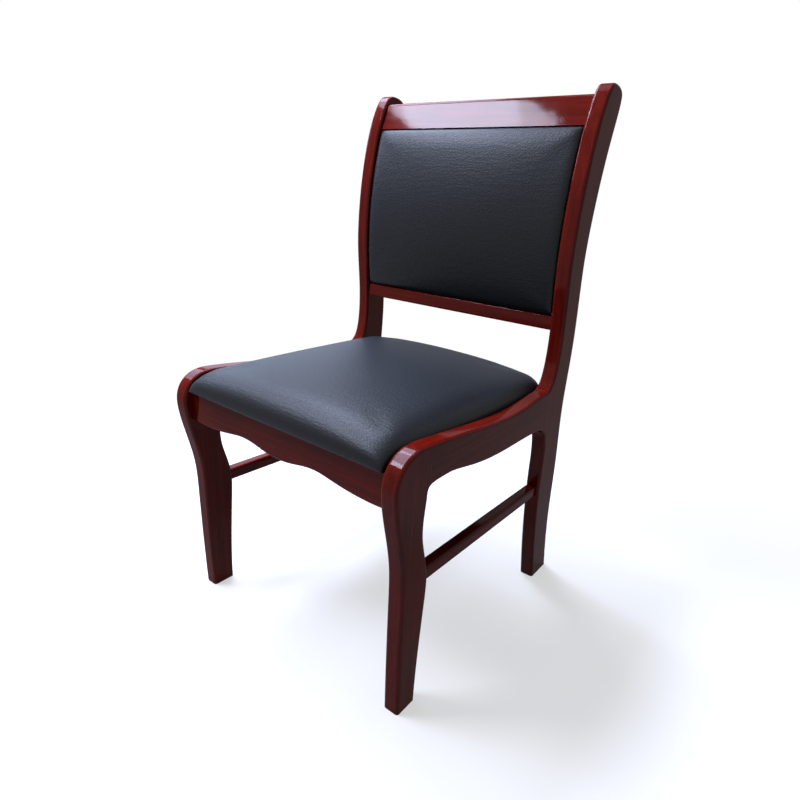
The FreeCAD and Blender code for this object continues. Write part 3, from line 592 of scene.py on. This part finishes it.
@dataclass
class Cushion:
    """Upholstered piece: a shaped block that is remeshed and swollen as cloth."""

    name: str
    nodes: list[str]
    fill: float = 0.9
    voxel: float = 5 * MM
    pressure: float = 1.2
    stretch_stiffness: float = 80.0
    bend_stiffness: float = 10.0
    frames: int = 14
    cap: float = 2 * MM
    cuts: int = 47
    soft_passes: int = 8
    soft_factor: float = 0.5

    def form(self, share: Vector) -> Vector:
        """Finds the place of a point of the unit block in the cushion.

        Args:
            share: Point of the block, from -1 to 1 on each axis.

        Returns:
            The point in the chair's frame.
        """
        raise NotImplementedError

    def held(self, place: Vector) -> float:
        """Says how firmly a point is held while the cover swells.

        Args:
            place: The point.

        Returns:
            One where it is held, else zero.
        """
        raise NotImplementedError

    def limit(self, place: Vector) -> Vector:
        """Keeps a swollen point clear of its neighbours.

        Args:
            place: The point.

        Returns:
            The nearest point that is clear.
        """
        raise NotImplementedError

    def build(self, material: Material) -> None:
        """Models, swells and settles the cushion.

        Args:
            material: Covering of the cushion.
        """
        mesh = bmesh.new()
        bmesh.ops.create_cube(mesh, size=2.0)
        bmesh.ops.subdivide_edges(mesh, edges=mesh.edges[:], cuts=self.cuts, use_grid_fill=True)
        for vertex in mesh.verts:
            vertex.co = self.form(vertex.co)
        piece = new_piece(self.name, mesh, material)
        self.remesh(piece)
        self.swell(piece)
        for _ in range(self.soft_passes):
            self.soften(piece)
        smooth = piece.modifiers.new("fine_surface", "SUBSURF")
        smooth.levels = smooth.render_levels = 1
        settle(piece, self.nodes)

    def apply(self, piece: Piece) -> None:
        """Applies the modifiers of a piece.

        Args:
            piece: The piece.
        """
        graph = bpy.context.evaluated_depsgraph_get()
        data = bpy.data.meshes.new_from_object(piece.evaluated_get(graph))
        old = piece.data
        piece.modifiers.clear()
        piece.data = data
        data.name = piece.name
        bpy.data.meshes.remove(old)

    def remesh(self, piece: Piece) -> None:
        """Gives the piece an even mesh.

        Args:
            piece: The piece.
        """
        even = piece.modifiers.new("even_mesh", "REMESH")
        even.mode = "VOXEL"
        even.voxel_size = self.voxel
        self.apply(piece)

    def swell(self, piece: Piece) -> None:
        """Swells the cover as cloth under pressure, held where it is fixed.

        Args:
            piece: The piece, with an even mesh.
        """
        start = [vertex.co.copy() for vertex in piece.data.vertices]
        group = piece.vertex_groups.new(name="held")
        for index, place in enumerate(start):
            group.add([index], self.held(place), "REPLACE")
        cloth = piece.modifiers.new("cover", "CLOTH")
        cloth.settings.use_pressure = True
        cloth.settings.uniform_pressure_force = self.pressure
        cloth.settings.vertex_group_mass = group.name
        cloth.settings.tension_stiffness = self.stretch_stiffness
        cloth.settings.compression_stiffness = self.stretch_stiffness
        cloth.settings.bending_stiffness = self.bend_stiffness
        cloth.settings.effector_weights.gravity = 0.0
        cloth.collision_settings.use_collision = False
        cloth.point_cache.frame_start = 1
        cloth.point_cache.frame_end = self.frames
        scene = bpy.context.scene
        for number in range(1, self.frames + 1):
            scene.frame_set(number)
        self.apply(piece)
        scene.frame_set(1)
        piece.vertex_groups.clear()
        moves = []
        for vertex, place in zip(piece.data.vertices, start):
            move = vertex.co - place
            moves.append(move.length)
            if move.length > self.cap:
                move = move.normalized() * self.cap
            vertex.co = self.limit(place + move)
        LOG.info("%s swelled up to %.1f mm", self.name, max(moves) / MM)

    def soften(self, piece: Piece) -> None:
        """Evens out the marks of the remesh where the cover is free.

        Args:
            piece: The piece.
        """
        mesh = bmesh.new()
        mesh.from_mesh(piece.data)
        free = [vertex for vertex in mesh.verts if not self.held(vertex.co)]
        bmesh.ops.smooth_vert(
            mesh, verts=free, factor=self.soft_factor,
            use_axis_x=True, use_axis_y=True, use_axis_z=True,
        )
        mesh.to_mesh(piece.data)
        mesh.free()


@dataclass
class SeatCushion(Cushion):
    """Seat: gently crowned, full at its sides, with a deep front roll drawn in at its base."""

    name: str = "seat_cushion"
    nodes: list[str] = field(default_factory=lambda: ["seat_cover", "seat_foam"])
    soft_passes: int = 14
    tuck: float = 2.5 * MM
    front_reach: float = 8 * MM
    front_tuck: float = 11 * MM
    wall: float = 11 * MM
    front_roll: float = 58 * MM
    rear_roll: float = 26 * MM
    side_roll: float = 26 * MM
    shoulders: tuple[float, float, float] = (39 * MM, 41 * MM, 39 * MM)
    crowns: tuple[float, float, float] = (15 * MM, 19 * MM, 16 * MM)
    crown_power: float = 2.4
    swell_room: float = 1.5 * MM
    hold: float = 6 * MM
    side_growth: float = 1 * MM

    def __post_init__(self) -> None:
        """Reads the room that the cushion has."""
        self.low, self.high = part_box("seat_cover")
        self.half = self.high.x + self.side_growth
        self.front = self.low.y - self.front_reach

    def form(self, share: Vector) -> Vector:
        """Finds the place of a point of the unit block in the seat.

        Args:
            share: Point of the block, from -1 to 1 on each axis.

        Returns:
            The point in the chair's frame.
        """
        across = spread(share.x)
        depth = (spread(share.y) + 1) / 2
        y = self.front + depth * (self.high.y - self.front)
        front = quarter(y - self.front, self.front_roll)
        rear = quarter(self.high.y - y, self.rear_roll)
        sides = quarter((1 - abs(across)) * self.half, self.side_roll)
        crown = quadratic(*self.crowns, depth) * (1 - abs(across) ** self.crown_power)
        full = quadratic(*self.shoulders, depth) + crown - self.swell_room
        top = self.wall + (full - self.wall) * (front * rear) * sides
        rise = (share.z + 1) / 2
        half = self.half - self.tuck * (1 - rise)
        under = 1 - quarter(rise * top, self.wall)
        back = self.front_tuck * under * max(1 - 2 * depth, 0.0)
        return Vector((across * half, y + back, self.low.z + rise * top))

    def held(self, place: Vector) -> float:
        """Holds the underside and the foot of the sides.

        Args:
            place: A point of the cover.

        Returns:
            One where it is held, else zero.
        """
        return 1.0 if place.z < self.low.z + self.hold else 0.0

    def limit(self, place: Vector) -> Vector:
        """Keeps the seat between the side rails and behind the front of the knees.

        Args:
            place: A point of the swollen cover.

        Returns:
            The nearest point that is clear.
        """
        return Vector((
            min(max(place.x, -self.half), self.half),
            min(max(place.y, self.front - self.cap / 2), self.high.y),
            max(place.z, self.low.z),
        ))


@dataclass
class BackCushion(Cushion):
    """Back: a bent pad, crowned to the front, with edges drawn in towards its board."""

    name: str = "back_cushion"
    nodes: list[str] = field(default_factory=lambda: ["back_cover", "back_foam"])
    voxel: float = 4 * MM
    front_lines: tuple[float, float, float] = (175 * MM, 165 * MM, 190 * MM)
    depth: float = 13.4 * MM
    edge: float = 8 * MM
    held_share: float = 0.7
    crown: float = 7 * MM
    roll: float = 13 * MM
    swell_room: float = 1 * MM
    growth: float = 2.9 * MM

    def __post_init__(self) -> None:
        """Reads the room that the cushion has, up to the posts and rails around it."""
        low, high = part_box("back_cover")
        reach = Vector((self.growth, 0.0, self.growth))
        self.low, self.high = low - reach, high + reach

    def rear(self, z: float) -> float:
        """Finds the face of the board that the pad lies on.

        Args:
            z: Height at which it is wanted.

        Returns:
            The Y of the face there.
        """
        share = (z - self.low.z - self.growth) / (self.high.z - self.low.z - 2 * self.growth)
        return quadratic(*self.front_lines, share) + self.depth

    def form(self, share: Vector) -> Vector:
        """Finds the place of a point of the unit block in the back.

        Args:
            share: Point of the block, from -1 to 1 on each axis.

        Returns:
            The point in the chair's frame.
        """
        x = share.x * self.high.x
        z = self.low.z + (share.z + 1) / 2 * (self.high.z - self.low.z)
        sides = quarter(self.high.x - abs(x), self.roll)
        ends = quarter(min(z - self.low.z, self.high.z - z), self.roll)
        bulge = self.crown * (1 - share.x ** 2) * (1 - share.z ** 2)
        full = self.depth + bulge - self.swell_room
        thick = self.edge + (full - self.edge) * sides * ends
        return Vector((x, self.rear(z) - thick * (1 - share.y) / 2, z))

    def held(self, place: Vector) -> float:
        """Holds the rear of the pad.

        Args:
            place: A point of the cover.

        Returns:
            One where it is held, else zero.
        """
        return 1.0 if place.y > self.rear(place.z) - self.edge * self.held_share else 0.0

    def limit(self, place: Vector) -> Vector:
        """Keeps the pad between the posts and rails, and in front of its board.

        Args:
            place: A point of the swollen cover.

        Returns:
            The nearest point that is clear.
        """
        return Vector((
            min(max(place.x, self.low.x), self.high.x),
            min(place.y, self.rear(place.z)),
            min(max(place.z, self.low.z), self.high.z),
        ))


@dataclass
class WoodFrame:
    """Show wood of the chair, by the direction of its grain."""

    pieces: dict[Grain, list[str]] = field(default_factory=lambda: {
        Grain.UPRIGHT: ["rear_post_left", "rear_post_right", "front_leg_left", "front_leg_right"],
        Grain.ALONG: ["side_rail_left", "side_rail_right", "stretcher_left", "stretcher_right"],
        Grain.ACROSS: ["front_apron", "rear_apron", "crest_rail", "low_back_rail"],
    })

    def dress(self) -> None:
        """Lacquers the show wood."""
        for grain, nodes in self.pieces.items():
            dress(nodes, LacqueredWood(grain).material())


@dataclass
class DustCloth:
    """Cloth stapled under the seat board, cut off at its corners to clear the corner blocks."""

    thickness: float = 0.6 * MM
    sag: float = 2.5 * MM
    clearance: float = 1 * MM
    cells: int = 40
    staple_width: float = 10 * MM
    staple_wire: float = 0.9 * MM
    staple_round: float = 0.25
    staple_round_steps: int = 2
    staple_pitch: float = 48 * MM
    staple_inset: float = 6 * MM

    def __post_init__(self) -> None:
        """Reads the place of the cloth and of its cut corners."""
        self.low, self.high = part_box("dust_cover")
        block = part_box("corner_block_front_right")[0]
        self.cut = self.high.x - (block.x - self.clearance)
        self.middle = (self.low + self.high) / 2
        self.half = (self.high - self.low) / 2

    def build(self, cloth: Material, steel: Material) -> None:
        """Makes the cloth and its staples.

        Args:
            cloth: Material of the cloth.
            steel: Material of the staples.
        """
        mesh = bmesh.new()
        bmesh.ops.create_grid(mesh, x_segments=self.cells, y_segments=self.cells, size=1.0)
        for vertex in mesh.verts:
            share = vertex.co.copy()
            drop = self.sag * (1 - share.x ** 2) * (1 - share.y ** 2)
            vertex.co = Vector((
                share.x * self.half.x,
                share.y * self.half.y + self.middle.y,
                self.high.z - self.thickness - drop,
            ))
        for side in (-1, 1):
            for end in (-1, 1):
                self.cut_corner(mesh, side, end)
        piece = new_piece("dust_cloth", mesh, cloth)
        body = piece.modifiers.new("cloth_thickness", "SOLIDIFY")
        body.thickness = self.thickness
        body.offset = 1.0
        settle(piece, ["dust_cover"])
        self.staples(steel)

    def cut_corner(self, mesh: bmesh.types.BMesh, side: int, end: int) -> None:
        """Cuts one corner off the cloth.

        Args:
            mesh: Mesh of the cloth.
            side: One for the right side, minus one for the left.
            end: One for the rear, minus one for the front.
        """
        corner = Vector((
            side * (self.half.x - self.cut), self.middle.y + end * self.half.y, 0.0,
        ))
        bmesh.ops.bisect_plane(
            mesh, geom=mesh.verts[:] + mesh.edges[:] + mesh.faces[:], plane_co=corner,
            plane_no=Vector((side, end, 0.0)), clear_outer=True,
        )

    def staples(self, steel: Material) -> None:
        """Drives a row of staples along each straight edge.

        Args:
            steel: Material of the staples.
        """
        mesh = bmesh.new()
        rows = [
            (self.half.x - self.cut, self.half.y - self.staple_inset, False),
            (self.half.y - self.cut, self.half.x - self.staple_inset, True),
        ]
        for reach, away, turned in rows:
            count = int(2 * reach / self.staple_pitch)
            for side in (-1, 1):
                for number in range(count):
                    along = (number - (count - 1) / 2) * self.staple_pitch
                    x, y = (side * away, along) if turned else (along, side * away)
                    self.staple(mesh, Vector((x, self.middle.y + y, self.low.z)), turned)
        settle(new_piece("dust_cloth_staples", mesh, steel), [])

    def staple(self, mesh: bmesh.types.BMesh, spot: Vector, turned: bool) -> None:
        """Adds the crown of one staple.

        Args:
            mesh: Mesh of all the staples.
            spot: Place under the cloth.
            turned: Whether the staple lies along Y.
        """
        size = Matrix.Diagonal((self.staple_width, self.staple_wire, self.staple_wire, 1.0))
        turn = Matrix.Rotation(math.radians(90 if turned else 0), 4, "Z")
        place = Matrix.Translation(spot) @ turn @ size
        crown = bmesh.ops.create_cube(mesh, size=1.0, matrix=place)["verts"]
        edges = list({edge for vertex in crown for edge in vertex.link_edges})
        bmesh.ops.bevel(
            mesh, geom=edges, offset=self.staple_wire * self.staple_round, affect="EDGES",
            segments=self.staple_round_steps, profile=0.5, material=-1,
        )


@dataclass
class Underside:
    """Blocks, boards, dowels, screws and dust cloth under and behind the upholstery."""

    beech_pale: str = "c9a377"
    beech_dark: str = "a87d50"
    birch_pale: str = "d8bd92"
    birch_dark: str = "bb9a6a"

    def build(self, leatherette: Material) -> None:
        """Dresses the pieces that stay as they are and makes the dust cloth.

        Args:
            leatherette: Covering of the panel behind the back.
        """
        corners = [
            f"corner_block_{end}_{side}" for end in ("front", "rear") for side in ("left", "right")
        ]
        dowels = ["seat_frame_dowels", "back_rail_dowels", "stretcher_dowels"]
        beech = (self.beech_pale, self.beech_dark)
        birch = (self.birch_pale, self.birch_dark)
        block = SawnWood("beech_sawn", Grain.ACROSS, *beech).material()
        upright = SawnWood("beech_sawn_upright", Grain.UPRIGHT, *beech).material()
        ply = SawnWood("birch_plywood_sanded", Grain.ALONG, *birch).material()
        steel = ZincSteel().material()
        dress(corners + dowels, block)
        dress(["back_cleat_left", "back_cleat_right"], upright)
        dress(["seat_board", "back_board"], ply)
        dress(["back_rear_panel"], leatherette)
        dress(["corner_block_screws", "seat_screws", "back_screws"], steel)
        DustCloth().build(NonwovenCloth().material(), steel)


@dataclass(frozen=True)
class Softbox:
    """Area lamp that faces a point of the chair."""

    name: str
    place: tuple[float, float, float]
    aim: tuple[float, float, float]
    width: float
    height: float
    radiance: float
    colour: str

    def light(self) -> None:
        """Hangs the lamp in the studio."""
        data = bpy.data.lights.new(self.name, "AREA")
        data.shape = "RECTANGLE"
        data.size = self.width
        data.size_y = self.height
        data.energy = self.radiance * math.pi * self.width * self.height
        data.color = linear(self.colour)[:3]
        lamp = bpy.data.objects.new(self.name, data)
        bpy.context.scene.collection.objects.link(lamp)
        lamp.location = self.place
        lamp.rotation_mode = "QUATERNION"
        view = Vector(self.aim) - Vector(self.place)
        lamp.rotation_quaternion = view.to_track_quat("-Z", "Y")
        lamp.visible_camera = False


@dataclass
class Studio:
    """Pale floor, pale surroundings and soft lamps.

    Each lamp is given by its name, place, aim, width, height, radiance and colour.
    """

    floor_half: float = 30.0
    floor_colour: str = "f4f1ec"
    floor_bounce: str = "97959a"
    fade_reach: Span = (0.5, 1.6)
    fade_shares: Span = (0.55, 1.0)
    fill: float = 0.3
    fill_colour: str = "e6eaf2"
    lamps: list[Softbox] = field(default_factory=lambda: [
        Softbox("front_left", (-1.84, -1.61, 3.27), (0.0, 0.2, 0.91), 1.1, 0.6, 64.0, "dde6ff"),
        Softbox("top_left", (-0.92, -0.17, 2.07), (0.2, -0.26, 0.45), 1.35, 0.5, 29.0, "d2deff"),
        Softbox("left", (-1.62, -0.05, 1.42), (-0.2, -0.2, 0.45), 1.2, 0.36, 18.0, "c8d8ff"),
        Softbox("back_left", (-2.0, 1.2, 1.0), (0.0, 0.0, 0.5), 1.2, 0.6, 7.0, "c8dcff"),
        Softbox("knee", (-0.87, 0.52, 1.92), (0.2, -0.24, 0.44), 0.9, 0.5, 22.0, "d2e0ff"),
        Softbox("above", (0.0, 0.3, 2.4), (0.0, -0.1, 0.45), 1.0, 0.8, 4.0, "d4e0fa"),
    ])

    def shown(self, tree: Tree) -> Socket:
        """Says where the surroundings are seen: directly, in gloss or through glass.

        Args:
            tree: Node tree that needs to know.

        Returns:
            The socket that is one there, else zero.
        """
        path = add_node(tree, "ShaderNodeLightPath").outputs
        some = add_node(tree, "ShaderNodeMath", {
            0: path["Is Camera Ray"], 1: path["Is Glossy Ray"],
        }, operation="ADD").outputs[0]
        return add_node(tree, "ShaderNodeMath", {
            0: some, 1: path["Is Transmission Ray"],
        }, operation="ADD", use_clamp=True).outputs[0]

    def floor(self) -> None:
        """Lays the floor, which fades to white away from the chair and keeps its shadow."""
        material, tree = new_material("pale_floor")
        inputs = {0: object_place(tree)}
        away = add_node(tree, "ShaderNodeVectorMath", inputs, operation="LENGTH").outputs["Value"]
        fade = rescale(tree, away, self.fade_reach, self.fade_shares, smooth=True)
        shown = self.shown(tree)
        share = add_node(tree, "ShaderNodeMath", {0: fade, 1: shown}, operation="MULTIPLY").outputs[0]
        tone = tones(tree, shown, [(0.0, self.floor_bounce), (1.0, self.floor_colour)])
        matt = add_node(tree, "ShaderNodeBsdfDiffuse", {"Color": tone}).outputs["BSDF"]
        white = add_node(tree, "ShaderNodeEmission", {"Color": WHITE, "Strength": 1.0}).outputs[0]
        mixed = add_node(tree, "ShaderNodeMixShader", {0: share, 1: matt, 2: white}).outputs[0]
        add_node(tree, "ShaderNodeOutputMaterial", {"Surface": mixed})
        mesh = bmesh.new()
        bmesh.ops.create_grid(mesh, x_segments=1, y_segments=1, size=self.floor_half)
        new_piece("floor", mesh, material)

    def surroundings(self) -> None:
        """Sets the white surroundings and the dim fill that they give."""
        world = bpy.data.worlds.new("studio")
        world.use_nodes = True
        world.node_tree.nodes.clear()
        tree = world.node_tree
        dim, white = (
            add_node(tree, "ShaderNodeBackground", {"Color": colour, "Strength": strength}).outputs[0]
            for colour, strength in ((linear(self.fill_colour), self.fill), (WHITE, 1.0))
        )
        inputs = {0: self.shown(tree), 1: dim, 2: white}
        mixed = add_node(tree, "ShaderNodeMixShader", inputs).outputs[0]
        add_node(tree, "ShaderNodeOutputWorld", {"Surface": mixed})
        bpy.context.scene.world = world

    def build(self) -> None:
        """Builds the studio."""
        self.floor()
        self.surroundings()
        for lamp in self.lamps:
            lamp.light()


@dataclass(frozen=True)
class Vantage:
    """Camera at the viewing angle of the photograph."""

    place: tuple[float, float, float] = (0.6234, -0.8002, 0.7518)
    azimuth: float = 36.79
    elevation: float = 19.34
    roll: float = 3.94
    focal_pixels: float = 568.61
    frame_pixels: float = 800.0
    sensor: float = 36.0

    def build(self) -> None:
        """Makes the camera and gives it to the scene."""
        data = bpy.data.cameras.new("camera")
        data.sensor_width = self.sensor
        data.lens = self.sensor * self.focal_pixels / self.frame_pixels
        camera = bpy.data.objects.new("camera", data)
        bpy.context.scene.collection.objects.link(camera)
        turn = math.radians(self.azimuth)
        lift = math.radians(self.elevation)
        back = Vector((
            math.sin(turn) * math.cos(lift), -math.cos(turn) * math.cos(lift), math.sin(lift),
        ))
        tilt = Quaternion((0.0, 0.0, 1.0), math.radians(self.roll))
        camera.location = self.place
        camera.rotation_mode = "QUATERNION"
        camera.rotation_quaternion = (-back).to_track_quat("-Z", "Y") @ tilt
        bpy.context.scene.camera = camera


def main() -> None:
    """Builds the studio, the camera and the chair's looks."""
    logging.basicConfig(level=logging.INFO, format="%(name)s: %(message)s")
    bpy.context.scene.view_settings.view_transform = "Standard"
    Vantage().build()
    Studio().build()
    leatherette = Leatherette().material()
    WoodFrame().dress()
    Underside().build(leatherette)
    SeatCushion().build(leatherette)
    BackCushion().build(leatherette)


if __name__ == "__main__":
    main()
